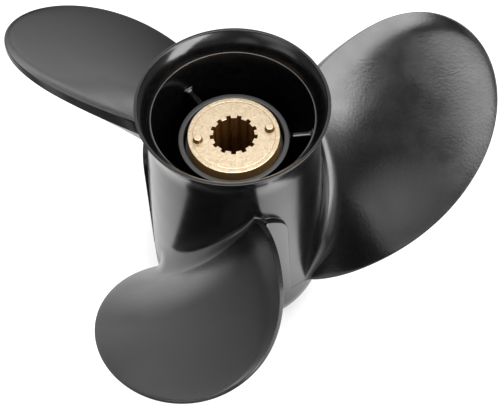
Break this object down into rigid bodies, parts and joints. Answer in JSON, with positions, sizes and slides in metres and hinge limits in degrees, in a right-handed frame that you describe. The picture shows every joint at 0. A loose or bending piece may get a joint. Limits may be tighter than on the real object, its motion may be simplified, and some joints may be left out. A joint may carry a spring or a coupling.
{
  "type": "outboard boat propeller",
  "caption": "Right-hand screw propeller cast in one piece with a through-hub exhaust barrel, flared outlet, rubber bush and splined brass sleeve.",
  "frame": {"origin": "on the shaft axis, in the plane of the hub's front end, which the propeller stands on", "axes": "+Z runs aft along the shaft axis, +X runs towards the root of the first blade, +Y completes the right-handed frame"},
  "size_m": [0.2587, 0.2545, 0.1439],
  "materials": {
    "black_paint": "cast aluminium with gloss black paint",
    "rubber": "black moulded rubber",
    "brass": "pale machined brass"
  },
  "bodies": {
    "root": {"propeller_casting": "black_paint", "rubber_bush": "rubber", "brass_sleeve": "brass"}
  },
  "joints": []
}
